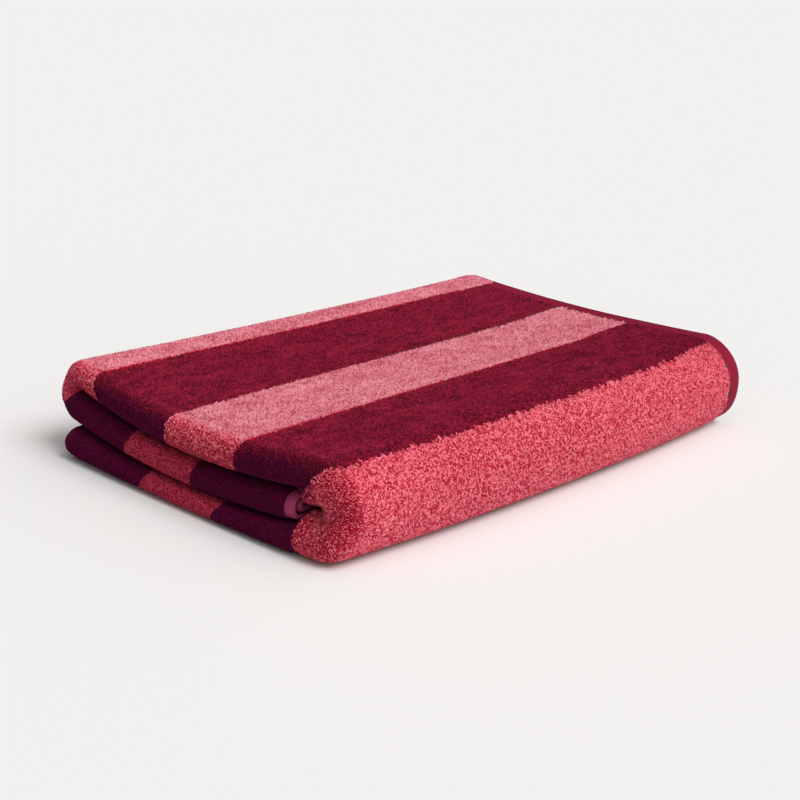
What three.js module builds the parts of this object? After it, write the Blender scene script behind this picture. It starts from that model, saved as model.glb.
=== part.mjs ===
// A folded bath towel: one striped terry cloth, 70 by 140 cm, folded twice.
//
// First the cloth is folded to a quarter of its length, which gives a pack of four layers with a
// rolled end on one side and the two hems on the other. Then the pack is folded in three like a
// letter, so twelve layers lie on each other. The cloth is one closed solid, so every layer, roll
// and hem below is the same sheet, followed from one end to the other.
//
// Millimetres, +Z up. X runs along the towel's length, Y across it. The origin is on the surface
// that the towel lies on, under the middle of the folded towel.
import * as THREE from 'three';

// The cloth
const SHEET = 3.85;          // terry with the pile of both faces
const HEM = 12;              // flat woven hem at each end, without pile
const HEM_SHEET = 2.3;
const SELVEDGE = 6;          // flat woven edge at each side, without pile
const SELVEDGE_SHEET = 2.5;
const SLOPE = 2.5;           // the pile rises from a flat edge to its full height over this length

// The folded towel
const LENGTH = 350;
const WIDTH = 239;
const PITCH = 4.28;          // from one layer to the next inside the pack
const PACK_LAYERS = 4;
const PACK_GAP = 0.35;       // extra room between one pack and the next
const EDGE_BACK = 13;        // the middle pack's free edge stays this far behind the front fold
const EDGE_INSET = 19;       // the bottom pack's free edge stays this far inside the back fold
const FOLD_RECESS = 9;       // the fold between the hems lies this far inside them
const HEM_STEP = 3;          // the inner hem lies this far inside the outer one

// How the soft stack departs from straight lines
const ROLL_END_LIFT = { front: -1.5, back: 2.3 };   // against the height of a flat stack
const HEM_END_LIFT = { front: 3.3, back: 6.4 };
const ROLL_END_SAG = 7.0;    // the top dips between the two long folds
const HEM_END_SAG = 5.5;
const HEAVY = 0.10;          // how much fuller its weight makes the front fold below, of its radius
const FRONT_BULGE = 7.0;     // halfway along, the front fold stands out and the back fold goes in
const BACK_HOLLOW = 4.4;
const REACH = 90;            // how far an uneven end or side is felt inside the towel

// How far each pack's rolled end stays inside the full length, at the front, middle and back
const ROLL_INSETS = [
  { pack: 'bottom', front: 2.0, middle: -2.5, back: -3.5 },
  { pack: 'middle', front: 11.0, middle: 1.5, back: 4.0 },
  { pack: 'top', front: 11.5, middle: 3.0, back: 8.5 },
];
const HEM_INSET = { front: 5.0, middle: -2.0, back: 6.3 };
const FRONT_END_ROUND = 6;   // above and below its middle, the front fold's hem end goes in by this

// How far the grooves between the packs sink at the rolled end. At the back corner they rise.
const DROOP = { front: 0.0, middle: 4.0, back: -3.5 };

// The pile of the front fold's inner layers fills its hollow near the rolled end
const HOLLOW_LEFT = 0.8;     // what is left of the hollow's radius there
const HOLLOW_REACH = 70;
const HOLLOW_DEPTH = 5;       // from the middle pack's free edge to where the hollow is shut

// How finely the sheet is divided: segments in a turn, and where the straight runs are cut,
// measured along X from the rolled end and along Y from the front fold's centre
const OUTER_ROLL = 8;
const INNER_ROLL = 4;
const FRONT_TURN = 10;
const BACK_TURN = 6;
const CUTS_ALONG = [20, 45, 75, 150, 225, 270, 305];
const CUTS_ACROSS = [8, 10, 13, 45, 80, 115, 150];

const PACK = PACK_LAYERS * PITCH;
const LOOSE = (PITCH - SHEET) / 2;
const BOTTOM_Z = PACK / 2 - LOOSE;
const MIDDLE_Z = BOTTOM_Z + PACK + PACK_GAP;
const TOP_Z = MIDDLE_Z + PACK + PACK_GAP;
const HEIGHT = TOP_Z + PACK / 2 - LOOSE;
const OUTER_LAYER = 1.5 * PITCH;
const INNER_LAYER = 0.5 * PITCH;

// A fold line of straights and turns, seen in section. A straight is { run }, a turn is
// { radius, turn } with the turn in radians, positive to the left. Lengths along the line are
// those of the cloth that lies `outside` beyond it, which is where the stripes were measured.
function foldLine(legs, start, heading, outside) {
  const pieces = [];
  let [x, y] = start;
  let angle = heading;
  let from = 0;
  for (const leg of legs) {
    const side = leg.turn ? Math.sign(leg.turn) : 0;
    const cloth = leg.turn ? Math.abs(leg.turn) * (leg.radius + outside * side) : leg.run;
    const piece = { ...leg, side, angle, from, to: from + cloth, x, y };
    if (leg.turn) {
      piece.x = x - Math.sin(angle) * side * leg.radius;
      piece.y = y + Math.cos(angle) * side * leg.radius;
      angle += leg.turn;
      x = piece.x + Math.sin(angle) * side * leg.radius;
      y = piece.y - Math.cos(angle) * side * leg.radius;
    } else {
      x += leg.run * Math.cos(angle);
      y += leg.run * Math.sin(angle);
    }
    pieces.push(piece);
    from = piece.to;
  }
  return pieces;
}

// The point at a length along a fold line, moved outwards from it, which is to its right
function pointOn(pieces, length, outwards) {
  const piece = pieces.find((one) => length <= one.to) ?? pieces.at(-1);
  const along = length - piece.from;
  if (!piece.turn) {
    return [
      piece.x + along * Math.cos(piece.angle) + outwards * Math.sin(piece.angle),
      piece.y + along * Math.sin(piece.angle) - outwards * Math.cos(piece.angle),
    ];
  }
  const angle = piece.angle + piece.turn * along / (piece.to - piece.from);
  const reach = piece.radius * piece.side + outwards;
  return [piece.x + reach * Math.sin(angle), piece.y - reach * Math.cos(angle)];
}

// The first folds, along the length: outer layer from its hem to the roll, back on the far side,
// round the inner fold, and once more there and back to the inner hem. The second coordinate is
// how far outwards in the pack a layer lies.
const ROLL_X = -LENGTH / 2 + OUTER_LAYER + PITCH / 2;
const HEM_X = LENGTH / 2;
const INNER_FOLD_X = HEM_X - FOLD_RECESS - INNER_LAYER - PITCH / 2;
const lengthFolds = foldLine([
  { run: HEM_X - ROLL_X },
  { radius: OUTER_LAYER, turn: Math.PI, steps: OUTER_ROLL },
  { run: INNER_FOLD_X - ROLL_X },
  { radius: INNER_LAYER, turn: Math.PI, steps: INNER_ROLL },
  { run: INNER_FOLD_X - ROLL_X },
  { radius: INNER_LAYER, turn: -Math.PI, steps: INNER_ROLL },
  { run: HEM_X - HEM_STEP - ROLL_X },
], [HEM_X, OUTER_LAYER], Math.PI, 0);

// The second folds, across the width: the middle pack from its free edge, the back fold, the top
// pack, the front fold over the whole height, and the bottom pack to its free edge.
const BACK_RADIUS = (TOP_Z - MIDDLE_Z) / 2;
const FRONT_RADIUS = (TOP_Z - BOTTOM_Z) / 2;
const FRONT_Y = -WIDTH / 2 + FRONT_RADIUS + PACK / 2;
const BACK_Y = WIDTH / 2 - BACK_RADIUS - PACK / 2;
const widthFolds = foldLine([
  { run: BACK_Y - FRONT_Y - EDGE_BACK },
  { radius: BACK_RADIUS, turn: Math.PI, steps: BACK_TURN },
  { run: BACK_Y - FRONT_Y },
  { radius: FRONT_RADIUS, turn: Math.PI, steps: FRONT_TURN },
  { run: WIDTH / 2 - EDGE_INSET - FRONT_Y },
], [FRONT_Y + EDGE_BACK, MIDDLE_Z], 0, OUTER_LAYER);

const smooth = (value) => THREE.MathUtils.smoothstep(value, 0, 1);
const arch = (value) => 4 * value * (1 - value);
const clamp = THREE.MathUtils.clamp;

// A value given at the front, middle and back, read at side = -1 to 1
function across(row, side) {
  const tilt = (row.back - row.front) / 2;
  const bend = (row.front + row.back) / 2 - row.middle;
  return row.middle + tilt * side + bend * side * side;
}

// The rolled end's inset at a height, passing smoothly from each pack to the next
function rollInset(side, z) {
  const level = clamp(z / PACK, 0.5, 2.5) - 0.5;
  const [bottom, middle, top] = ROLL_INSETS.map((row) => across(row, side));
  const lower = THREE.MathUtils.lerp(bottom, middle, smooth(level));
  return THREE.MathUtils.lerp(lower, top, smooth(level - 1));
}

// The front fold's layers spread towards the line it turns about, and its lower quarter is fuller
function fillFrontFold([x, y, z]) {
  const nearRoll = 1 - smooth((x - ROLL_X) / HOLLOW_REACH);
  const inFold = smooth((FRONT_Y + EDGE_BACK - y) / HOLLOW_DEPTH);
  const outerRadius = HEIGHT / 2;
  const filled = (outerRadius - HOLLOW_LEFT) / (PACK - 2 * LOOSE);
  const spread = THREE.MathUtils.lerp(1, filled, inFold * nearRoll);
  const forward = Math.min(y - FRONT_Y, 0);
  const radius = Math.hypot(forward, z - MIDDLE_Z);
  const down = Math.max(MIDDLE_Z - z, 0);
  const corner = 2 * forward * down / (radius * radius);
  const fuller = 1 + HEAVY * corner * corner;
  const scale = (outerRadius - (outerRadius - radius) * spread) / radius * fuller;
  return [x, y + forward * (scale - 1), MIDDLE_Z + (z - MIDDLE_Z) * scale];
}

// Straight folds become those of a soft stack. What lies on the surface stays flat on it.
function settle([x, y, z]) {
  const end = clamp(x / (LENGTH / 2), -1, 1);
  const side = clamp(y / (WIDTH / 2), -1, 1);
  const between = clamp((y - FRONT_Y) / (BACK_Y - FRONT_Y), 0, 1);
  const nearRoll = 1 - smooth((x + LENGTH / 2) / REACH);
  const nearHem = 1 - smooth((LENGTH / 2 - x) / REACH);
  const nearFront = 1 - smooth((y + WIDTH / 2) / REACH);
  const nearBack = 1 - smooth((WIDTH / 2 - y) / REACH);
  const level = clamp(z / HEIGHT, 0, 1);
  const toHems = (end + 1) / 2;
  const front = THREE.MathUtils.lerp(ROLL_END_LIFT.front, HEM_END_LIFT.front, toHems);
  const back = THREE.MathUtils.lerp(ROLL_END_LIFT.back, HEM_END_LIFT.back, toHems);
  const sag = THREE.MathUtils.lerp(ROLL_END_SAG, HEM_END_SAG, toHems);
  const lift = THREE.MathUtils.lerp(front, back, between) - sag * arch(between);
  const sink = across(DROOP, side) * arch(level) * nearRoll;
  const rounded = FRONT_END_ROUND * (2 * level - 1) ** 2 * (1 - between) * nearFront;
  return [
    x + rollInset(side, z) * nearRoll - (across(HEM_INSET, side) + rounded) * nearHem,
    y - (1 - end * end) * (FRONT_BULGE * nearFront + BACK_HOLLOW * nearBack),
    z * (1 + lift / HEIGHT) - sink,
  ];
}

// Lengths at which the sheet is divided: the steps of each turn, the cuts of each straight run,
// which are at the same places in every layer, and both edges of the flat border
function divisions(pieces, border, places) {
  const end = pieces.at(-1).to;
  const inner = pieces.slice(1).map((piece) => piece.from);
  for (const piece of pieces) {
    for (let step = 1; step < piece.steps; step += 1) {
      inner.push(piece.from + (piece.to - piece.from) * step / piece.steps);
    }
    if (!piece.turn) {
      const forward = Math.cos(piece.angle);
      const offsets = places.map((place) => (place - piece.x) / forward);
      inner.push(...offsets.filter((at) => at > 0 && at < piece.run).map((at) => piece.from + at));
    }
  }
  const clear = border + SLOPE;
  const marks = inner.filter((mark) => mark > clear && mark < end - clear);
  marks.push(0, border, clear, end - clear, end - border, end);
  return marks.sort((a, b) => a - b);
}

// Half of the sheet's thickness: full in the terry, thin in the hems and selvedges
function halfThickness(along, alongEnd, acrossAt, acrossEnd) {
  const fromHem = Math.min(along, alongEnd - along) - HEM;
  const fromSelvedge = Math.min(acrossAt, acrossEnd - acrossAt) - SELVEDGE;
  const hem = THREE.MathUtils.lerp(HEM_SHEET, SHEET, clamp(fromHem / SLOPE, 0, 1));
  const selvedge = THREE.MathUtils.lerp(SELVEDGE_SHEET, SHEET, clamp(fromSelvedge / SLOPE, 0, 1));
  return Math.min(hem, selvedge) / 2;
}

// The whole sheet: an outer and an inner face over the same divisions, closed by a rim all round.
// Every face is cut into triangles the same way in space, so that layers follow each other closely.
function clothGeometry() {
  const alongMarks = divisions(lengthFolds, HEM, CUTS_ALONG.map((cut) => ROLL_X + cut));
  const acrossMarks = divisions(widthFolds, SELVEDGE, CUTS_ACROSS.map((cut) => FRONT_Y + cut));
  const alongEnd = alongMarks.at(-1);
  const acrossEnd = acrossMarks.at(-1);
  const rows = alongMarks.length;
  const columns = acrossMarks.length;
  const positions = [];
  for (const face of [1, -1]) {
    for (const along of alongMarks) {
      for (const acrossAt of acrossMarks) {
        const half = halfThickness(along, alongEnd, acrossAt, acrossEnd);
        const [x, outwards] = pointOn(lengthFolds, along, face * half);
        const [y, z] = pointOn(widthFolds, acrossAt, outwards);
        positions.push(...settle(fillFrontFold([x, y, z])));
      }
    }
  }
  const indices = [];
  const vertex = (face, row, column) => (face * rows + row) * columns + column;
  const quad = (a, b, c, d) => indices.push(a, b, c, a, c, d);
  for (let row = 0; row + 1 < rows; row += 1) {
    for (let column = 0; column + 1 < columns; column += 1) {
      const corners = [[row, column], [row + 1, column], [row + 1, column + 1], [row, column + 1]];
      const [here, nextRow, , nextColumn] = corners.map(([r, c]) => 3 * vertex(0, r, c));
      const alongX = positions[nextRow] - positions[here];
      const acrossY = positions[nextColumn + 1] - positions[here + 1];
      if (alongX * acrossY < 0) {
        corners.push(corners.shift());
      }
      const [a, b, c, d] = corners.map(([r, c]) => vertex(0, r, c));
      const under = rows * columns;
      quad(a, b, c, d);
      quad(a + under, d + under, c + under, b + under);
    }
  }
  const rim = [];
  for (let column = 0; column + 1 < columns; column += 1) {
    rim.push([0, column]);
  }
  for (let row = 0; row + 1 < rows; row += 1) {
    rim.push([row, columns - 1]);
  }
  for (let column = columns - 1; column > 0; column -= 1) {
    rim.push([rows - 1, column]);
  }
  for (let row = rows - 1; row > 0; row -= 1) {
    rim.push([row, 0]);
  }
  rim.forEach(([row, column], place) => {
    const [nextRow, nextColumn] = rim[(place + 1) % rim.length];
    quad(
      vertex(0, row, column),
      vertex(0, nextRow, nextColumn),
      vertex(1, nextRow, nextColumn),
      vertex(1, row, column),
    );
  });
  const geometry = new THREE.BufferGeometry();
  geometry.setAttribute('position', new THREE.Float32BufferAttribute(positions, 3));
  geometry.setIndex(indices);
  geometry.computeVertexNormals();
  geometry.computeBoundingBox();
  const { min, max } = geometry.boundingBox;
  return geometry.translate(-(min.x + max.x) / 2, -(min.y + max.y) / 2, -min.z);
}

const terry = new THREE.MeshStandardMaterial({ color: 0x6e1a30, roughness: 0.95, metalness: 0 });
const towel = new THREE.Mesh(clothGeometry(), terry);
towel.name = 'towel';

const foldedTowel = new THREE.Group();
foldedTowel.add(towel);

export default foldedTowel;
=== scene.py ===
# %% [markdown]
# # A folded bath towel
#
# A terry towel is one woven cloth. Its ground is a plain flat weave, and extra warp yarns stand up
# from both faces as loops: that is the pile. Here one mesh follows the woven ground through all of
# its folds, and small separate meshes stand on it as the pile. Stripes are dyed yarns, so colour
# belongs to a place on the flat cloth and is carried through the folds with it.
#
# Everything is in metres, with +X along the stripes and +Z up.

# %% Load the frame
import math

import bpy
import numpy as np
from mathutils import Matrix, Vector


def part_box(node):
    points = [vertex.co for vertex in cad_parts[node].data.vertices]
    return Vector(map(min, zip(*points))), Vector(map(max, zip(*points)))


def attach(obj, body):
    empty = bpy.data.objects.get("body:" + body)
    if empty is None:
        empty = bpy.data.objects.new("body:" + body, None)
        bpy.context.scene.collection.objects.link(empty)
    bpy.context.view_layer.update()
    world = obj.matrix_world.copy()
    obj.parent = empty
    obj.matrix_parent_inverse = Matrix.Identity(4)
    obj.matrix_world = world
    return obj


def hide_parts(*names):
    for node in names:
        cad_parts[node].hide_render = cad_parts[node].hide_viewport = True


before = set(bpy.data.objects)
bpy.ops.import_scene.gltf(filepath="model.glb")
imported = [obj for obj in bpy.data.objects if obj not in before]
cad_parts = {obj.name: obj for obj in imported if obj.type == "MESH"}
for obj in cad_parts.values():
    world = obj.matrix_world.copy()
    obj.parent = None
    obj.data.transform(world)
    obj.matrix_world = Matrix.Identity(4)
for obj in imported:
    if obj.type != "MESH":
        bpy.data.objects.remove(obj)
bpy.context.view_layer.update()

# %% [markdown]
# ## The folds as two lines
#
# A folded cloth is easy to describe by two lines seen from the side. The first follows the cloth
# along its length: out, round the roll, back, round again. The second follows the pack of four
# layers across its width, as a letter is folded. Each is a list of straight runs and half turns.
# Any point of the flat cloth is then found by walking along both. The soft unevenness of the real
# stack comes last, as one function that bends straight lines a little. Sizes here are millimetres.

# %% Sizes of the folded cloth
SHEET = 3.85
HEM, HEM_SHEET = 12.0, 2.3
SELVEDGE, SELVEDGE_SHEET = 6.0, 2.5
SLOPE = 2.5
LENGTH, WIDTH = 350.0, 239.0
PITCH, LAYERS, PACK_GAP = 4.28, 4, 0.35
EDGE_BACK, EDGE_INSET = 13.0, 19.0
FOLD_RECESS, HEM_STEP = 9.0, 3.0

ROLL_END_LIFT = (-1.5, 2.3)  # front, back
HEM_END_LIFT = (3.3, 6.4)
ROLL_END_SAG, HEM_END_SAG = 7.0, 5.5
HEAVY = 0.10
FRONT_BULGE, BACK_HOLLOW = 7.0, 4.4
REACH = 90.0
# Insets of an end are given at the front, in the middle and at the back
ROLL_INSETS = {"bottom": (2.0, -2.5, -3.5), "middle": (11.0, 1.5, 4.0), "top": (11.5, 3.0, 8.5)}
HEM_INSET = (5.0, -2.0, 6.3)
FRONT_END_ROUND = 6.0
DROOP = (0.0, 4.0, -3.5)
HOLLOW_LEFT, HOLLOW_REACH = 0.8, 70.0
HOLLOW_DEPTH = 5.0

PACK = LAYERS * PITCH
LOOSE = (PITCH - SHEET) / 2
BOTTOM_Z = PACK / 2 - LOOSE
MIDDLE_Z = BOTTOM_Z + PACK + PACK_GAP
TOP_Z = MIDDLE_Z + PACK + PACK_GAP
HEIGHT = TOP_Z + PACK / 2 - LOOSE
OUTER_LAYER, INNER_LAYER = 1.5 * PITCH, 0.5 * PITCH
ROLL_X = -LENGTH / 2 + OUTER_LAYER + PITCH / 2
HEM_X = LENGTH / 2
INNER_FOLD_X = HEM_X - FOLD_RECESS - INNER_LAYER - PITCH / 2
BACK_RADIUS, FRONT_RADIUS = (TOP_Z - MIDDLE_Z) / 2, (TOP_Z - BOTTOM_Z) / 2
FRONT_Y = -WIDTH / 2 + FRONT_RADIUS + PACK / 2
BACK_Y = WIDTH / 2 - BACK_RADIUS - PACK / 2


def fold_line(legs, start, heading, outside):
    """Legs are (run,) or (radius, turn). Lengths are those of the cloth lying `outside` the line."""
    pieces, (x, y), angle, begin = [], start, heading, 0.0
    for leg in legs:
        piece = {"begin": begin, "angle": angle, "x": x, "y": y, "turn": 0.0, "reach": 0.0}
        if len(leg) == 1:
            begin += leg[0]
            x, y = x + leg[0] * math.cos(angle), y + leg[0] * math.sin(angle)
        else:
            radius, turn = leg
            reach = math.copysign(radius, turn)
            begin += abs(turn) * (radius + math.copysign(outside, turn))
            piece["x"], piece["y"] = x - reach * math.sin(angle), y + reach * math.cos(angle)
            piece["turn"], piece["reach"] = turn, reach
            angle += turn
            x, y = piece["x"] + reach * math.sin(angle), piece["y"] - reach * math.cos(angle)
        pieces.append({**piece, "end": begin})
    return pieces


def point_on(pieces, length, outwards):
    """Points at lengths along a fold line, moved outwards from it, which is to its right."""
    which = np.searchsorted([p["end"] for p in pieces[:-1]], length, side="left")
    column = {name: np.array([p[name] for p in pieces])[which] for name in pieces[0]}
    along = length - column["begin"]
    share = along / (column["end"] - column["begin"])
    angle = column["angle"] + column["turn"] * share
    run = np.where(column["turn"] == 0, along, 0.0)
    reach = column["reach"] + outwards
    return (
        column["x"] + run * np.cos(angle) + reach * np.sin(angle),
        column["y"] + run * np.sin(angle) - reach * np.cos(angle),
    )


LENGTH_FOLDS = fold_line(
    [
        (HEM_X - ROLL_X,),
        (OUTER_LAYER, math.pi),
        (INNER_FOLD_X - ROLL_X,),
        (INNER_LAYER, math.pi),
        (INNER_FOLD_X - ROLL_X,),
        (INNER_LAYER, -math.pi),
        (HEM_X - HEM_STEP - ROLL_X,),
    ],
    (HEM_X, OUTER_LAYER),
    math.pi,
    0.0,
)
WIDTH_FOLDS = fold_line(
    [
        (BACK_Y - FRONT_Y - EDGE_BACK,),
        (BACK_RADIUS, math.pi),
        (BACK_Y - FRONT_Y,),
        (FRONT_RADIUS, math.pi),
        (WIDTH / 2 - EDGE_INSET - FRONT_Y,),
    ],
    (FRONT_Y + EDGE_BACK, MIDDLE_Z),
    0.0,
    OUTER_LAYER,
)
CLOTH_ALONG, CLOTH_ACROSS = LENGTH_FOLDS[-1]["end"], WIDTH_FOLDS[-1]["end"]
print(f"cloth along its length {CLOTH_ALONG:.0f} mm, across {CLOTH_ACROSS:.0f} mm")

# %% [markdown]
# ## The soft stack
#
# A stack of terry is never straight. Its top sags between the two long folds, the packs sink on
# each other, and every end steps in or out a little. These are smooth functions of the place in
# the stack, so neighbouring layers move together and never cross. Near the rolled end the hollow
# of the front fold is filled by spreading its layers.


# %% Bend the straight stack
def smooth(value):
    value = np.clip(value, 0, 1)
    return value * value * (3 - 2 * value)


def mix(a, b, share):
    return a + (b - a) * share


def arch(value):
    return 4 * value * (1 - value)


def across(row, side):
    """A value given at the front, middle and back, read at side = -1 to 1."""
    front, middle, back = row
    return middle + (back - front) / 2 * side + ((front + back) / 2 - middle) * side * side


def fill_front_fold(x, y, z):
    near_roll = 1 - smooth((x - ROLL_X) / HOLLOW_REACH)
    in_fold = smooth((FRONT_Y + EDGE_BACK - y) / HOLLOW_DEPTH)
    outer_radius = HEIGHT / 2
    filled = (outer_radius - HOLLOW_LEFT) / (PACK - 2 * LOOSE)
    spread = mix(1, filled, in_fold * near_roll)
    forward = np.minimum(y - FRONT_Y, 0)
    radius = np.maximum(np.hypot(forward, z - MIDDLE_Z), 1e-6)
    corner = 2 * forward * np.maximum(MIDDLE_Z - z, 0) / radius**2
    fuller = 1 + HEAVY * corner**2
    scale = (outer_radius - (outer_radius - radius) * spread) / radius * fuller
    return x, y + forward * (scale - 1), MIDDLE_Z + (z - MIDDLE_Z) * scale


def settle(x, y, z):
    end, side = np.clip(x / (LENGTH / 2), -1, 1), np.clip(y / (WIDTH / 2), -1, 1)
    between = np.clip((y - FRONT_Y) / (BACK_Y - FRONT_Y), 0, 1)
    near_roll, near_hem = 1 - smooth((x + LENGTH / 2) / REACH), 1 - smooth((LENGTH / 2 - x) / REACH)
    near_front, near_back = 1 - smooth((y + WIDTH / 2) / REACH), 1 - smooth((WIDTH / 2 - y) / REACH)
    level, to_hems = np.clip(z / HEIGHT, 0, 1), (end + 1) / 2
    front = mix(ROLL_END_LIFT[0], HEM_END_LIFT[0], to_hems)
    back = mix(ROLL_END_LIFT[1], HEM_END_LIFT[1], to_hems)
    sag = mix(ROLL_END_SAG, HEM_END_SAG, to_hems)
    lift = mix(front, back, between) - sag * arch(between)
    sink = across(DROOP, side) * arch(level) * near_roll
    pack = np.clip(z / PACK, 0.5, 2.5) - 0.5
    inset = across(ROLL_INSETS["bottom"], side)
    inset = mix(inset, across(ROLL_INSETS["middle"], side), smooth(pack))
    inset = mix(inset, across(ROLL_INSETS["top"], side), smooth(pack - 1))
    rounded = FRONT_END_ROUND * (2 * level - 1) ** 2 * (1 - between) * near_front
    return (
        x + inset * near_roll - (across(HEM_INSET, side) + rounded) * near_hem,
        y - (1 - end * end) * (FRONT_BULGE * near_front + BACK_HOLLOW * near_back),
        z * (1 + lift / HEIGHT) - sink,
    )


TOP_MIDDLE = settle(-LENGTH / 2, 0.0, HEIGHT)
print("the top's middle at the rolled end lies at", np.round(TOP_MIDDLE, 1))

# %% [markdown]
# ## From the flat cloth to the frame
#
# With both lines and the bending at hand, one function takes any point of the flat cloth to its
# place in the stack. The cloth has a thickness too: a point may lie above or below the middle of
# the sheet. The sheet is thin in its flat borders and thick where it has pile.


# %% Place a point of the cloth
def half_thickness(along, sideways):
    """Half of the sheet with its pile: full in the terry, thin in the flat hems and selvedges."""
    from_hem = np.minimum(along, CLOTH_ALONG - along) - HEM
    from_selvedge = np.minimum(sideways, CLOTH_ACROSS - sideways) - SELVEDGE
    hem = mix(HEM_SHEET, SHEET, np.clip(from_hem / SLOPE, 0, 1))
    selvedge = mix(SELVEDGE_SHEET, SHEET, np.clip(from_selvedge / SLOPE, 0, 1))
    return np.minimum(hem, selvedge) / 2


def folded(along, sideways, outwards):
    x, out_in_pack = point_on(LENGTH_FOLDS, along, outwards)
    y, z = point_on(WIDTH_FOLDS, sideways, out_in_pack)
    return np.stack(settle(*fill_front_fold(x, y, z)), axis=-1)


# The solid's own middle, found from a loose net of its outer face, fits this maths to the frame.
NET = np.meshgrid(np.linspace(0, CLOTH_ALONG, 600), np.linspace(0, CLOTH_ACROSS, 500))
OUTSIDE = folded(*NET, half_thickness(*NET)).reshape(-1, 3)
LOW, HIGH = (np.array(corner) * 1000 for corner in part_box("towel"))
SHIFT = (LOW + HIGH) / 2 - (OUTSIDE.min(0) + OUTSIDE.max(0)) / 2
SHIFT[2] = 0.0


def place(along, sideways, outwards):
    """Where a point of the flat cloth lies in the frame, in metres."""
    return (folded(along, sideways, outwards) + SHIFT) / 1000


print("shift to the frame in mm", SHIFT.round(2))

# %% [markdown]
# ## Shader maths as Python
#
# A material is a graph of nodes, but most of a pattern is plain arithmetic. This small class wraps
# an output socket so that `a * b + c` adds the Math nodes by itself. Numbers alone are worked out
# by Python, so no node is spent on them. Colours go through Mix, vectors through Vector Math.


# %% Wrap sockets
class Wire:
    """An output of a node, with arithmetic that adds Math nodes."""

    def __init__(self, tree, socket):
        self.tree, self.socket = tree, socket

    def node(self, kind, settings=(), out=0, **values):
        """A new node: its type, its settings, then sockets by name, or as i0, i1 by number."""
        made = self.tree.nodes.new(kind)
        for name, value in dict(settings).items():
            setattr(made, name, value)
        for name, value in values.items():
            numbered = name[0] == "i" and name[1:].isdigit()
            socket = made.inputs[int(name[1:]) if numbered else name.replace("_", " ")]
            if isinstance(value, Wire):
                self.tree.links.new(value.socket, socket)
            else:
                socket.default_value = value
        return Wire(self.tree, made.outputs[out])

    def maths(self, operation, other=0.0):
        return self.node("ShaderNodeMath", {"operation": operation}, i0=self, i1=other)

    def __add__(self, other):
        return self.maths("ADD", other)

    def __mul__(self, other):
        return self.maths("MULTIPLY", other)

    def __sub__(self, other):
        return self.maths("SUBTRACT", other)

    def __truediv__(self, other):
        return self.maths("DIVIDE", other)

    def __rsub__(self, other):
        return (self * -1.0) + other

    __radd__, __rmul__ = __add__, __mul__

    def above(self, level, softness):
        """0 below a level and 1 above it, with a soft step."""
        values = {"Value": self, "From_Min": level - softness, "From_Max": level + softness}
        return self.node("ShaderNodeMapRange", {"interpolation_type": "SMOOTHSTEP"}, **values)

    def blend(self, low, high):
        """From one colour to another by this value."""
        made = self.tree.nodes.new("ShaderNodeMix")
        made.data_type = "RGBA"
        self.tree.links.new(self.socket, made.inputs["Factor"])
        for name, value in (("A", low), ("B", high)):
            socket = next(s for s in made.inputs if s.name == name and s.type == "RGBA")
            if isinstance(value, Wire):
                self.tree.links.new(value.socket, socket)
            else:
                socket.default_value = value
        return Wire(self.tree, next(s for s in made.outputs if s.type == "RGBA"))


def colour(red, green, blue):
    """A linear colour from the 0 to 255 values seen on a screen."""

    def linear(value):
        value /= 255
        return value / 12.92 if value <= 0.04045 else ((value + 0.055) / 1.055) ** 2.4

    return (linear(red), linear(green), linear(blue), 1.0)


def cloth_material(name, base=None, sheen=0.0, tint=None):
    """A matt cloth material. Sheen is the pale edge that fine fibres give."""
    made = bpy.data.materials.new(name)
    made.use_nodes = True
    shader = made.node_tree.nodes["Principled BSDF"]
    shader.inputs["Roughness"].default_value = 0.95
    shader.inputs["Specular IOR Level"].default_value = 0.15
    shader.inputs["Sheen Weight"].default_value = sheen
    shader.inputs["Sheen Roughness"].default_value = 0.5
    if tint:
        shader.inputs["Sheen Tint"].default_value = tint
    if base:
        shader.inputs["Base Color"].default_value = base
    return made, shader


print("a pale cloth red in linear light", [round(x, 3) for x in colour(236, 106, 122)])

# %% [markdown]
# ## Stripes, hems and selvedges
#
# The yarns are dyed before weaving, so a stripe has a fixed place across the cloth. Six dark
# stripes and five pink ones take turns. Folding pulls the soft cloth, so on the finished stack an
# edge wanders by up to 4.5 millimetres along the top and by up to 8 at the rolled end, but one by
# 19 there. Each end of the cloth is a flat woven hem and each side a flat selvedge, both without
# pile. A UV map keeps each point's place on the flat cloth, one unit to the metre, and the pattern
# is worked out from that. Between the loops the ground is deep and dark, which is painted shade
# for the gaps between the loops. Faces that get no separate pile take the paler colour of the pile
# itself.

# %% Colours of the cloth
# Widths of the stripes but the last, in mm, from the middle pack's free edge
STRIPE_WIDTHS = [75.1, 59.1, 63.8, 51.2, 63.5, 59.3, 63.0, 70.9, 63.4, 59.2]
STRIPE_EDGES = np.cumsum(STRIPE_WIDTHS)
# How far each edge was pulled across the cloth in mm: near the hem, midway, at the rolled end
PULLS = [
    (0.0, 0.0, -2.4),
    (0.0, 0.0, -8.0),
    (0.0, 0.0, -7.0),
    (-1.5, -2.5, 3.5),
    (0.0, 4.5, 4.0),
    (-3.0, 1.5, -1.0),
    (-1.5, 0.8, -19.0),
    (0.0, 0.0, 3.0),
    (0.0, 0.0, -5.0),
    (0.0, 0.0, -6.3),
]
A_RUN, ROLL_END = LENGTH_FOLDS[0]["end"], LENGTH_FOLDS[1]["end"]


def pull(along, sideways):
    """How far the pattern is pulled across the cloth at a place. The selvedges stay."""
    places = np.concatenate([[0], STRIPE_EDGES, [CLOTH_ACROSS]])
    hem, middle, roll = (np.interp(sideways, places, (0, *column, 0)) for column in zip(*PULLS))
    from_hem = mix(hem, middle, smooth((along - 20) / 60))
    return mix(from_hem, roll, smooth((along - A_RUN + 2) / 19))


# The ground colours are deep and dark as painted shade for the gaps between the loops
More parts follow.
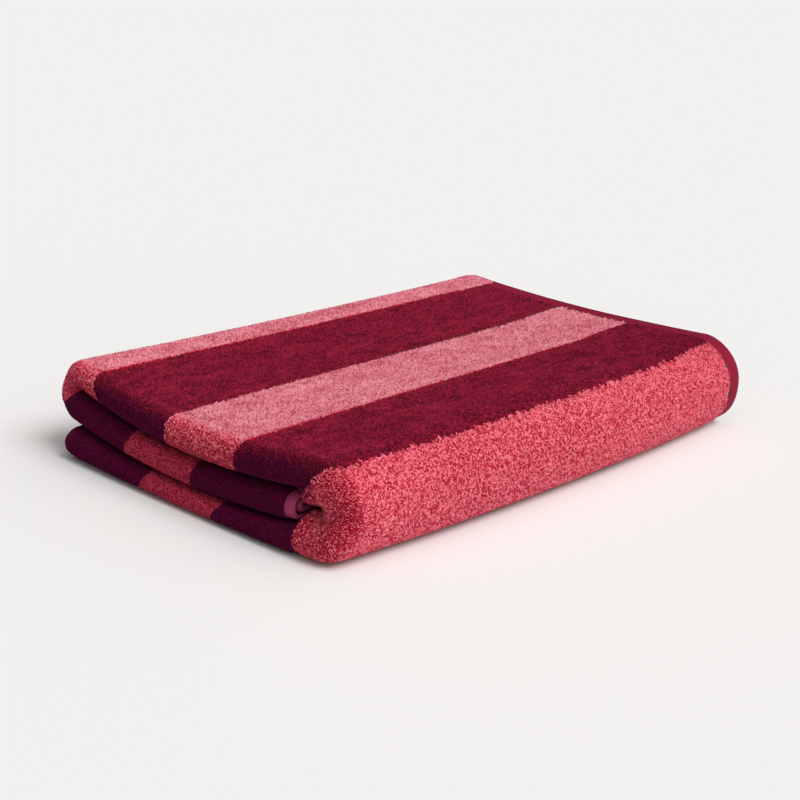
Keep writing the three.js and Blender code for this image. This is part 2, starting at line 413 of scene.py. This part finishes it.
PINK_GROUND, DARK_GROUND = colour(156, 11, 38), colour(74, 3, 26)
PINK_TERRY, DARK_TERRY = colour(214, 112, 126), colour(112, 13, 40)
BESIDE = 1.0  # metres by which faces without separate pile lie further over on the map
HEM_COLOUR, BETWEEN_THREADS = colour(186, 31, 68), (0.02, 0.0, 0.01, 1.0)
# The selvedge on the far side, at the bottom pack's free edge, is darker: painted shade
SELVEDGE_COLOUR, SHADED_SELVEDGE_COLOUR = colour(220, 86, 136), colour(150, 32, 86)
THREAD, THREAD_HEIGHT = 0.0016, 0.0003


def stripes(sideways, dark, pink):
    """Dark and pink by turns, changing sharply at the edges of the stripes."""
    made = sideways.node("ShaderNodeValToRGB", Fac=sideways / (CLOTH_ACROSS / 1000))
    stops = made.socket.node.color_ramp
    stops.interpolation = "CONSTANT"
    stops.elements[0].color = dark
    stops.elements[1].position = STRIPE_EDGES[0] / CLOTH_ACROSS
    stops.elements[1].color = pink
    for number, edge in enumerate(STRIPE_EDGES[1:]):
        stops.elements.new(edge / CLOTH_ACROSS).color = (dark, pink)[number % 2]
    return made


cloth_look, cloth_shader = cloth_material("woven ground")
tree = cloth_look.node_tree
anchor = Wire(tree, cloth_shader.outputs[0])
flat = anchor.node("ShaderNodeUVMap", {"uv_map": "flat cloth"})
along = flat.node("ShaderNodeSeparateXYZ", out="X", i0=flat)
mapped = flat.node("ShaderNodeSeparateXYZ", out="Y", i0=flat)
bare = mapped.above(BESIDE - 0.1, 0.02)
sideways = mapped - bare * BESIDE
# Under the pile the ground takes those dark colours: painted shade between the loops
under_pile = stripes(sideways, DARK_GROUND, PINK_GROUND)
terry = bare.blend(under_pile, stripes(sideways, DARK_TERRY, PINK_TERRY))

# Ridges of the two sets of threads cross, which makes the small dots of a plain weave
ridges = [(way * (2 * math.pi / THREAD)).maths("SINE") for way in (along, sideways)]
weave = ridges[0] * ridges[1]
to_hem = along.maths("MINIMUM", CLOTH_ALONG / 1000 - along)
to_selvedge = sideways.maths("MINIMUM", CLOTH_ACROSS / 1000 - sideways)
off_hem = to_hem.above(HEM / 1000, 0.0004)
off_selvedge = to_selvedge.above(SELVEDGE / 1000, 0.0004)
# Past the middle of the width the selvedge takes its darker colour, which is painted shade
selvedge = sideways.above(CLOTH_ACROSS / 2000, 0.001).blend(SELVEDGE_COLOUR, SHADED_SELVEDGE_COLOUR)
flat_weave = off_selvedge.blend(selvedge, HEM_COLOUR)
flat_weave = (weave * 0.5 + 0.5).blend(BETWEEN_THREADS, flat_weave)
surface = (off_hem * off_selvedge).blend(flat_weave, terry)
tree.links.new(surface.socket, cloth_shader.inputs["Base Color"])
bump = anchor.node("ShaderNodeBump", Strength=0.6, Distance=THREAD_HEIGHT, Height=weave)
tree.links.new(bump.socket, cloth_shader.inputs["Normal"])
print("stripe edges in mm", STRIPE_EDGES.round(0))

# %% [markdown]
# ## The woven ground
#
# One grid runs over the whole cloth. Its steps are small where the cloth turns and long where it is
# straight. Where the pile will show, the ground lies lower by the height of the pile. Inside the
# stack and beneath it, where no loop is seen, it stays at the full thickness and stands for the
# pile as well.

# %% Steps and height of the ground
PILE = 1.0  # mm of pile above the ground, on the outer face
MIDDLE_RUN, _, FRONT_START, FRONT_TURN, _ = (piece["end"] for piece in WIDTH_FOLDS)
SHOWN_FROM, SHOWN_TO = MIDDLE_RUN - 4, FRONT_TURN + 6
ROLL_FROM, ROLL_TO = A_RUN - 6, ROLL_END + 2


def stations(pieces, steps, border):
    """Lengths along a fold line: evenly in each leg, and at both edges of the flat borders."""
    end = pieces[-1]["end"]
    marks = [
        np.linspace(piece["begin"], piece["end"], count, endpoint=False)
        for piece, count in zip(pieces, steps)
    ]
    inner = np.concatenate(marks)
    inner = inner[(inner > border + SLOPE + 0.5) & (inner < end - border - SLOPE - 0.5)]
    edges = np.array([0, border / 2, border, border + SLOPE])
    return np.sort(np.concatenate([inner, edges, end - edges]))


def pile_share(along, sideways):
    """1 where separate pile is laid on the outer face, 0 elsewhere."""
    outer_layer = smooth((along - HEM) / SLOPE) * (1 - smooth((along - ROLL_END) / 6))
    over_top = smooth((sideways - SHOWN_FROM + 4) / 4) * (1 - smooth((sideways - SHOWN_TO) / 4))
    return outer_layer * np.maximum(over_top, smooth((along - ROLL_FROM + 4) / 4))


def ground_level(along, sideways):
    """Height of the outer face: below the pile where pile is laid, full elsewhere."""
    half = half_thickness(along, sideways)
    return half - PILE * pile_share(along, sideways) * half / (SHEET / 2)


print("the ground lies lower over", round(SHOWN_TO - SHOWN_FROM), "mm of the width")

# %% [markdown]
# ## Meshes from arrays
#
# The towel needs hundreds of thousands of small faces. Blender makes them quickly when a mesh is
# given whole arrays of points and corners, and slowly when they are added one at a time.


# %% Make an object from arrays
def mesh_object(name, points, faces, materials, slots=None):
    """An object from arrays of points and of faces with three or four corners each."""
    mesh = bpy.data.meshes.new(name)
    counts = np.concatenate([np.full(len(f), f.shape[1]) for f in faces])
    starts = np.concatenate([[0], np.cumsum(counts)[:-1]])
    corners = np.concatenate([f.ravel() for f in faces])
    mesh.vertices.add(len(points))
    mesh.vertices.foreach_set("co", np.asarray(points, np.float32).ravel())
    mesh.loops.add(len(corners))
    mesh.loops.foreach_set("vertex_index", corners.astype(np.int32))
    mesh.polygons.add(len(counts))
    mesh.polygons.foreach_set("loop_start", starts.astype(np.int32))
    for material in materials:
        mesh.materials.append(material)
    if slots is not None:
        mesh.polygons.foreach_set("material_index", slots.astype(np.int32))
    mesh.update(calc_edges=True)
    mesh.shade_smooth()
    made = bpy.data.objects.new(name, mesh)
    bpy.context.collection.objects.link(made)
    return made


def set_map(mesh, name, places):
    mesh.uv_layers.new(name=name).uv.foreach_set("vector", places.astype(np.float32).ravel())


# %% [markdown]
# ## Two faces and a rim
#
# The sheet is closed like the real one: an outer face, an inner face and a narrow rim round both.
# Both faces use the same grid, so a point and the one behind it share a place on the flat cloth.

# %% Build the ground
rows = stations(LENGTH_FOLDS, [76, 20, 20, 8, 20, 8, 20], HEM)
columns = stations(WIDTH_FOLDS, [34, 16, 44, 28, 44], SELVEDGE)
U, V = np.meshgrid(rows, columns, indexing="ij")
outer = place(U, V, ground_level(U, V))
inner = place(U, V, -half_thickness(U, V))
points = np.concatenate([outer.reshape(-1, 3), inner.reshape(-1, 3)])
many, wide = U.shape
first = (np.arange(many - 1)[:, None] * wide + np.arange(wide - 1)).ravel()
top = np.stack([first, first + wide, first + wide + 1, first + 1], axis=1)
under = many * wide
ring = np.concatenate(
    [
        np.arange(wide - 1),
        np.arange(many - 1) * wide + wide - 1,
        (many - 1) * wide + np.arange(wide - 1, 0, -1),
        np.arange(many - 1, 0, -1) * wide,
    ]
)
after = np.roll(ring, -1)
rim = np.stack([ring, after, after + under, ring + under], axis=1)
cloth = mesh_object("cloth", points, [top, top[:, ::-1] + under, rim], [cloth_look])
print("ground triangles", 2 * len(cloth.data.polygons))

# %% [markdown]
# ## Places on the flat cloth
#
# The first map carries the pattern. The second gives every face a spot of its own, as a baked
# picture needs: the outer face on the left, the inner face on the right, the rim between them.

# %% Map the ground
FACE_WIDTH, RIM_FROM, RIM_TO, INNER_FROM = 0.48, 0.49, 0.51, 0.52
mesh = cloth.data
corner = np.zeros(len(mesh.loops), np.int32)
mesh.loops.foreach_get("vertex_index", corner)
pattern = np.stack([U.ravel(), (V - pull(U, V)).ravel()], axis=1) / 1000
laid = pile_share(U, V).ravel() > 0.5
bare_faces = np.concatenate([~laid[top].all(axis=1), np.ones(len(top) + len(rim), bool)])
beside = np.repeat(bare_faces, 4)[:, None] * np.array([0.0, BESIDE])
set_map(mesh, "flat cloth", pattern[corner % under] + beside)
spread = np.stack([V.ravel() / CLOTH_ACROSS * FACE_WIDTH, U.ravel() / CLOTH_ALONG], axis=1)
unfolded = spread[corner % under] + (corner >= under)[:, None] * np.array([INNER_FROM, 0.0])
share = np.repeat(np.arange(len(ring)), 4) / len(ring)
share[1::4] += 1 / len(ring)
share[2::4] += 1 / len(ring)
side = np.tile([RIM_FROM, RIM_FROM, RIM_TO, RIM_TO], len(ring))
unfolded[-4 * len(ring) :] = np.stack([side, share], axis=1)
set_map(mesh, "OFBake", unfolded)
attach(cloth, "root")
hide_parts("towel")
print("maps of the ground", [layer.name for layer in mesh.uv_layers])

# %% [markdown]
# ## Colours of the pile
#
# Colour varies a little from loop to loop, as in dyed yarn. Each grain of pile gets one of a few
# plain materials for that. The flat runs are brushed and look dusty. Round the front fold the loops
# stand open and look clearer, partly as painted light, and low on the rolled end the pile takes
# darker tones that are painted shade.

# %% Pile materials
# In each family the middle three, for bends, are partly painted light; the last two are painted shade
PINK_TONES = {
    "pale pink": (232, 150, 161),
    "pink": (218, 124, 138),
    "deep pink": (190, 84, 99),
    "bright coral": (246, 136, 149),
    "coral": (236, 106, 122),
    "deep coral": (200, 54, 78),
    "shaded coral": (196, 64, 88),
    "deep shaded coral": (156, 34, 58),
}
DARK_TONES = {
    "bright burgundy": (150, 30, 58),
    "burgundy": (132, 18, 46),
    "deep burgundy": (94, 7, 32),
    "bright open burgundy": (148, 26, 56),
    "open burgundy": (128, 16, 44),
    "deep open burgundy": (92, 7, 32),
    "shaded plum": (96, 2, 54),
    "deep plum": (70, 1, 44),
}
BORDER_TONES = {"red thread": (214, 24, 52), "brown thread": (104, 54, 54)}


def tones(rows, sheen=0.0, tint=None):
    """Materials of one family. Only the first three, the brushed ones, have the full sheen."""
    sheens = [sheen] * 3 + [sheen / 4] * (len(rows) - 3)
    pairs = zip(rows.items(), sheens)
    return [cloth_material(name, colour(*rgb), weight, tint)[0] for (name, rgb), weight in pairs]


pink_looks = tones(PINK_TONES, 0.12, (1.0, 0.75, 0.8, 1.0))
dark_looks = tones(DARK_TONES, 0.05, (1.0, 0.3, 0.45, 1.0))
red_look, brown_look = tones(BORDER_TONES)
print("pile colours", len(pink_looks) + len(dark_looks) + 2)

# %% [markdown]
# ## Two kinds of grain
#
# A bath towel has hundreds of thousands of loops, so each grain must be very plain. A loop is a
# bent ridge of eight triangles. A tuft is the brushed pile of the flat runs, a low leaning point of
# four triangles. Both have their own small frame: along, across and up. Grains are placed on the
# flat cloth in jittered rows and then carried through the folds with it.

# %% Grain shapes
LOOP = {
    "points": [
        (-1.0, 0.0, 0.0),
        (-0.4, 0.5, 0.35),
        (-0.4, 0.0, 1.0),
        (-0.4, -0.5, 0.35),
        (0.45, 0.45, 0.3),
        (0.45, 0.0, 0.9),
        (0.45, -0.45, 0.3),
        (1.0, 0.0, 0.0),
    ],
    "faces": [[(0, 2, 1), (0, 3, 2), (7, 4, 5), (7, 5, 6)], [(1, 2, 5, 4), (2, 3, 6, 5)]],
}
TUFT = {
    "points": [(-1.0, 0.0, 0.0), (0.0, 0.6, 0.1), (0.9, 0.0, 0.1), (0.0, -0.6, 0.1), (0.5, 0.0, 1.0)],
    "faces": [[(0, 4, 1), (1, 4, 2), (2, 4, 3), (3, 4, 0)]],
}
# Shape, spacing along and across, half length, width and height, all in mm, then the direction
# across the cloth and its scatter in degrees
KINDS = {
    "open loops": (LOOP, (1.25, 0.68), (0.98, 0.5, 1.1), (90, 42)),
    "back loops": (LOOP, (1.6, 0.9), (1.25, 0.65, 1.2), (90, 50)),
    "roll loops": (LOOP, (1.05, 0.62), (0.85, 0.46, 0.85), (0, 38)),
    "tufts": (TUFT, (1.05, 1.0), (0.95, 0.95, 1.15), (90, 45)),
    "brushed tufts": (TUFT, (1.05, 1.0), (1.7, 0.75, 1.25), (80, 28)),
    "threads": (TUFT, (1.0, 0.6), (1.0, 0.8, 1.25), (0, 12)),
    "hem yarn": (TUFT, (0.8, 0.6), (0.9, 0.8, 0.6), (90, 40)),
}
SUNK = 0.15
print("grain kinds", ", ".join(KINDS))

# %% [markdown]
# ## Scatter
#
# Real pile is close to a grid and never exactly on it. Grains start from straight rows and are
# moved by up to half a step. Soft patches of random values vary colour and edges over a few
# millimetres, as uneven brushing does.


# %% Patches and rows
def noise(draw, along, sideways, cell):
    """Soft random patches about 0, with cells of the given size in mm."""
    spots = [along / cell[0], sideways / cell[1]]
    low = [np.floor(spot).astype(int) for spot in spots]
    share = [smooth(spot - floor) for spot, floor in zip(spots, low)]
    base = [int(floor.min()) for floor in low]
    table = draw.normal(0, 1, [int(floor.max()) - b + 2 for floor, b in zip(low, base)])
    i, j = low[0] - base[0], low[1] - base[1]
    near = mix(table[i, j], table[i + 1, j], share[0])
    far = mix(table[i, j + 1], table[i + 1, j + 1], share[0])
    return mix(near, far, share[1])


def scatter(draw, region, pitch, inside):
    """Jittered rows over a region (along from, to, across from, to) where `inside` allows it."""
    spans = [np.arange(region[0], region[1], pitch[0]), np.arange(region[2], region[3], pitch[1])]
    along, sideways = (axis.ravel() for axis in np.meshgrid(*spans, indexing="ij"))
    along = along + draw.uniform(-0.5, 0.5, along.size) * pitch[0]
    sideways = sideways + draw.uniform(-0.5, 0.5, sideways.size) * pitch[1]
    kept = inside(draw, along, sideways)
    return along[kept], sideways[kept]


SAMPLE = noise(np.random.default_rng(1), np.arange(0.0, 20.0, 5.0), np.zeros(4), (5.0, 5.0))
print("soft patches 5 mm apart", SAMPLE.round(2))

# %% [markdown]
# ## One piece of pile
#
# All grains of a piece are worked out at once, as arrays, and become one mesh. Each stands on the
# ground at its own place, with its foot sunk in a little, so no light shows beneath it.


# %% Stand the grains on the ground
def one_mm(vectors):
    """The same directions, each a millimetre long."""
    return vectors / np.linalg.norm(vectors, axis=1, keepdims=True) / 1000


def grain_points(draw, kind, along, sideways):
    """Points of every grain, standing on the ground at its place."""
    shape, _, size, (lean, leaning) = kind
    root = ground_level(along, sideways) - SUNK
    here = place(along, sideways, root)
    ahead = one_mm(place(along + 0.5, sideways, root) - here)
    aside = one_mm(place(along, sideways + 0.5, root) - here)
    up = one_mm(place(along, sideways, root + 0.5) - here)[:, None]
    angle = np.radians(lean + draw.normal(0, leaning, along.size))[:, None]
    forward = (ahead * np.cos(angle) + aside * np.sin(angle))[:, None]
    sidewards = (ahead * np.sin(angle) - aside * np.cos(angle))[:, None]
    sizes = (np.array(size) * draw.uniform(0.75, 1.25, (along.size, 3)))[:, None]
    form = np.array(shape["points"])[None]
    tilt = draw.normal(0, 0.25, along.size)[:, None, None] * form[:, :, 2:3]
    points = here[:, None] + forward * (form[:, :, 0:1] + tilt) * sizes[:, :, 0:1]
    points = points + sidewards * form[:, :, 1:2] * sizes[:, :, 1:2]
    return points + up * form[:, :, 2:3] * sizes[:, :, 2:3]


ABOVE_FLOOR = 0.0002  # metres


def grains(name, kind, region, inside, looks, tone, seed):
    """One piece of pile. `tone` gives the number of each grain's material."""
    draw = np.random.default_rng(seed)
    kind = KINDS[kind]
    along, sideways = scatter(draw, region, kind[1], inside)
    tones_of = tone(draw, along, sideways)
    points = grain_points(draw, kind, along, sideways)
    clear = points[:, :, 2].min(1) > ABOVE_FLOOR
    points, tones_of = points[clear], tones_of[clear]
    count, size = points.shape[:2]
    offset = (np.arange(count) * size)[:, None, None]
    faces = [np.array(rows)[None] + offset for rows in kind[0]["faces"]]
    slots = np.concatenate([np.repeat(tones_of, rows.shape[1]) for rows in faces])
    faces = [rows.reshape(-1, rows.shape[2]) for rows in faces]
    made = mesh_object(name, points.reshape(-1, 3), faces, looks, slots)
    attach(made, "root")
    print(f"{name}: {count} grains, {sum(len(f) * (f.shape[1] - 2) for f in faces)} triangles")
    return made


print("a loop on the roll is", 2 * KINDS["roll loops"][2][0], "mm long")

# %% [markdown]
# ## Where the pile shows
#
# Only the outer layer's outer face is seen, over the top, round both long folds and round the roll
# at its end. Each stripe there gets its own piece of pile. The parts of the outer layer that are
# pressed between two packs, and the underside, have none. The edge above the front fold is jagged,
# because open loops lean over the brushed stripe. At the back corner the pile covers the hem.

# %% Find the stripes
PILE_FROM, COVERED_HEM = HEM + 1.0, 2.0
FOLDED_STRIPES = {2: "back loops", 7: "open loops"}
BACK_CORNER_STRIPE, JAGGED_EDGE = 3, 7
BOUNDARIES = np.concatenate([[SELVEDGE], STRIPE_EDGES, [CLOTH_ACROSS - 1.0]])
MARGIN = 20.0


def boundary(number, along):
    """Where a boundary runs across the cloth, with its pull and its unevenness."""
    draw = np.random.default_rng(100 + number)
    rough = 0.9 if number == JAGGED_EDGE else 0.25
    marks = np.arange(-10.0, CLOTH_ALONG + 10, 1.6)
    uneven = np.interp(along, marks, draw.normal(0, rough, marks.size))
    edge = np.full(along.shape, BOUNDARIES[number])
    return edge + pull(along, edge) + uneven


def on_stripe(number, along, sideways):
    return (sideways > boundary(number, along)) & (sideways < boundary(number + 1, along))


def stripe(number, along_from, along_to, across_from=-MARGIN, across_to=CLOTH_ACROSS + MARGIN):
    """A test for places on a stripe, between given lengths along and across the cloth."""

    def inside(draw, along, sideways):
        ragged = noise(draw, along, sideways, (20.0, 1.4)) * 0.8 * (along < 2 * HEM)
        kept = (along > along_from + ragged) & (along < along_to)
        kept &= (sideways > across_from) & (sideways < across_to)
        return kept & on_stripe(number, along, sideways)

    return inside


print("jagged edge in mm", boundary(JAGGED_EDGE, np.arange(100.0, 106.0, 2.0)).round(1))

# %% [markdown]
# ## Which tone where
#
# A brushed run scatters light and looks pale and dusty. Where the cloth bends, its loops open and
# their clearer, deeper tones are partly that and partly painted light, for light bounced between
# the loops. Low on the rolled end, where little light gets in between the loops, darker tones are
# painted shade, and the dark stripes turn to plum there sooner than the pink ones turn to red.


# %% Choose the tones
def pile_tone(draw, along, sideways, turn_shade):
    """Three tones on flat runs, three on bends (partly painted light), two painted shade low on the
    roll.
    """
    patches = 0.4 * noise(draw, along, sideways, (14.0, 6.0))
    patches = patches + 0.3 * noise(draw, along, sideways, (5.0, 3.0))
    flat = np.digitize(patches + draw.normal(0, 0.9, along.size), [-0.7, 0.7])
    on_roll = smooth((along - A_RUN + 4) / 8)
    chance = draw.uniform(0, 1, along.size) + 0.12 * on_roll
    opened = 3 + np.digitize(chance, [0.25, 0.66])
    low = 6 + (draw.uniform(0, 1, along.size) > 0.6)
    height = place(along, sideways, half_thickness(along, sideways))[:, 2] * 1000
    on_front = smooth((sideways - FRONT_START + 2) / 8) * (sideways < FRONT_TURN + 8)
    # Share of painted shade: darker tones low in the stack and further round the roll, less at the
    # front
    beneath = np.maximum(smooth((38 - height) / 10), smooth((along - A_RUN - turn_shade) / 9))
    beneath = beneath * on_roll * (1 - 0.65 * on_front)
    # The open tones where the cloth bends are partly painted light, for light bounced between the
    # loops
    bent = np.maximum(on_front, on_roll)
    chosen = np.where(draw.uniform(0, 1, along.size) < bent, opened, flat)
    return np.where(draw.uniform(0, 1, along.size) < beneath, low, chosen)


def pink_tone(draw, along, sideways):
    return pile_tone(draw, along, sideways, 7)


def dark_tone(draw, along, sideways):
    return pile_tone(draw, along, sideways, 1)


print("tones of each stripe", len(PINK_TONES))

# %% [markdown]
# ## Pile on every stripe
#
# A stripe gets up to two pieces: one over the top and round the long folds, and one round the roll
# at its end. Stripes that turn round a long fold have open loops, the others are brushed flat.

# %% Lay the pile
pile = []
for number, (begin, end) in enumerate(zip(BOUNDARIES[:-1], BOUNDARIES[1:])):
    sorts = (("dark", dark_looks, dark_tone), ("pink", pink_looks, pink_tone))
    word, looks, tone = sorts[number % 2]
    across_span = (begin - MARGIN, end + MARGIN)
    if end > SHOWN_FROM and begin < SHOWN_TO - 2:
        kind = FOLDED_STRIPES.get(number, ("brushed tufts", "tufts")[number % 2])
        start = COVERED_HEM if number == BACK_CORNER_STRIPE else PILE_FROM
        region = (start - 2, ROLL_FROM, *across_span)
        inside = stripe(number, start, ROLL_FROM, SHOWN_FROM, SHOWN_TO)
        name = f"{word}_pile_{number}"
        pile.append(grains(name, kind, region, inside, looks, tone, 10 + number))
    region = (ROLL_FROM, ROLL_TO, *across_span)
    inside = stripe(number, ROLL_FROM, ROLL_TO)
    name = f"{word}_roll_{number}"
    pile.append(grains(name, "roll loops", region, inside, looks, tone, 40 + number))

# %% [markdown]
# ## Threads at the borders
#
# Where two colours meet, the ground yarn shows as a fine line: bright red at two of the edges and
# brown at the one between them. The pink pile ends at the hem in brownish patches.


# %% Lay the threads
def one_tone(draw, along, sideways):
    return np.zeros(along.size, int)


def near_edge(number, reach):
    def inside(draw, along, sideways):
        return np.abs(sideways - boundary(number, along)) < reach

    return inside


def pink_end(draw, along, sideways):
    patches = noise(draw, along, sideways, (30.0, 4.0))
    on_pink = on_stripe(5, along, sideways) | on_stripe(7, along, sideways)
    return on_pink & (along > HEM - 0.9 - 1.8 * patches) & (along < HEM + 1.3)


LINES = [
    (4, red_look, 40.0, A_RUN, 0.5),
    (6, red_look, 30.0, A_RUN, 0.5),
    (5, brown_look, 13.0, 190.0, 0.8),
]
for number, look, begin, end, reach in LINES:
    region = (begin, end, BOUNDARIES[number] - MARGIN, BOUNDARIES[number] + MARGIN)
    inside = near_edge(number, reach)
    name = f"thread_{number}"
    pile.append(grains(name, "threads", region, inside, [look], one_tone, 80 + number))
region = (HEM - 5, HEM + 3, BOUNDARIES[5] - MARGIN, FRONT_TURN)
pile.append(grains("hem_patches", "hem yarn", region, pink_end, [brown_look], one_tone, 90))
total = sum(len(face.vertices) - 2 for made in (cloth, *pile) for face in made.data.polygons)
print("pieces of pile", len(pile), "triangles in all", total)

# %% [markdown]
# ## Floor and light
#
# The towel lies on a plain pale floor that runs on to the horizon. A wide soft sun stands in front
# and high, so the front fold and the top are bright and the rolled end lies in shade. The sky is
# bright in front and above and dark behind, which keeps that shade deep.

# %% Floor and light
FLOOR_HALF = 60.0
square = FLOOR_HALF * np.array([(-1, -1, 0), (1, -1, 0), (1, 1, 0), (-1, 1, 0)], float)
floor_look, floor_shader = cloth_material("pale floor", colour(245, 245, 243))
floor_shader.inputs["Roughness"].default_value = 1.0
floor_shader.inputs["Specular IOR Level"].default_value = 0.0
floor = mesh_object("floor", square, [np.array([[0, 1, 2, 3]])], [floor_look])

KEY_POWER, SKY_POWER = 1.86, 0.95
KEY_FROM, SKY_FROM = Vector((0.14, -0.82, 1.0)), Vector((0.2, -0.7, 0.65)).normalized()
DARK_SKY, BRIGHT_SKY = (0.06, 0.04, 0.06, 1.0), (1.0, 0.97, 0.94, 1.0)
sun = bpy.data.lights.new("key", "SUN")
sun.energy, sun.angle, sun.color = KEY_POWER, math.radians(38), (0.985, 1.0, 1.02)
key = bpy.data.objects.new("key", sun)
bpy.context.collection.objects.link(key)
key.rotation_euler = KEY_FROM.to_track_quat("Z", "Y").to_euler()

world = bpy.data.worlds.new("soft sky")
bpy.context.scene.world = world
world.use_nodes = True
background = world.node_tree.nodes["Background"]
looking = Wire(world.node_tree, background.outputs[0]).node("ShaderNodeTexCoord", out="Generated")
dot = {"operation": "DOT_PRODUCT"}
facing = looking.node("ShaderNodeVectorMath", dot, out="Value", i0=looking, i1=SKY_FROM)
sky = facing.above(0.45, 0.6).blend(DARK_SKY, BRIGHT_SKY)
world.node_tree.links.new(sky.socket, background.inputs["Color"])
background.inputs["Strength"].default_value = SKY_POWER
bpy.context.scene.view_settings.view_transform = "Standard"
print("sun from", [round(x, 2) for x in KEY_FROM], "strength", KEY_POWER)

# %% [markdown]
# ## Camera
#
# The camera looks down a little, over the corner between the front fold and the rolled end, at a
# point near the towel's middle. Its place is worked out from that point, two angles and a distance,
# and it is rolled slightly.

# %% Camera
AZIMUTH, ELEVATION, ROLL = (math.radians(x) for x in (-46.22, 17.55, 1.78))
AIM = Vector(((-7.3 + SHIFT[0]) / 1000, (4.0 + SHIFT[1]) / 1000, 0.0229))
DISTANCE = 0.8267
FOCAL_PIXELS, PICTURE_PIXELS, SENSOR = 1387, 800, 36
flat_back = Vector((math.sin(AZIMUTH), -math.cos(AZIMUTH), 0))
back = flat_back * math.cos(ELEVATION) + Vector((0, 0, math.sin(ELEVATION)))
level_right = Vector((math.cos(AZIMUTH), math.sin(AZIMUTH), 0))
level_up = back.cross(level_right)
right = level_right * math.cos(ROLL) + level_up * math.sin(ROLL)
up = level_up * math.cos(ROLL) - level_right * math.sin(ROLL)
lens = bpy.data.cameras.new("camera")
lens.sensor_width = SENSOR
lens.lens = FOCAL_PIXELS / PICTURE_PIXELS * SENSOR
camera = bpy.data.objects.new("camera", lens)
bpy.context.collection.objects.link(camera)
turned = Matrix((right, up, back)).transposed().to_4x4()
camera.matrix_world = Matrix.Translation(AIM + back * DISTANCE) @ turned
bpy.context.scene.camera = camera
print("camera at", [round(x, 3) for x in camera.location])
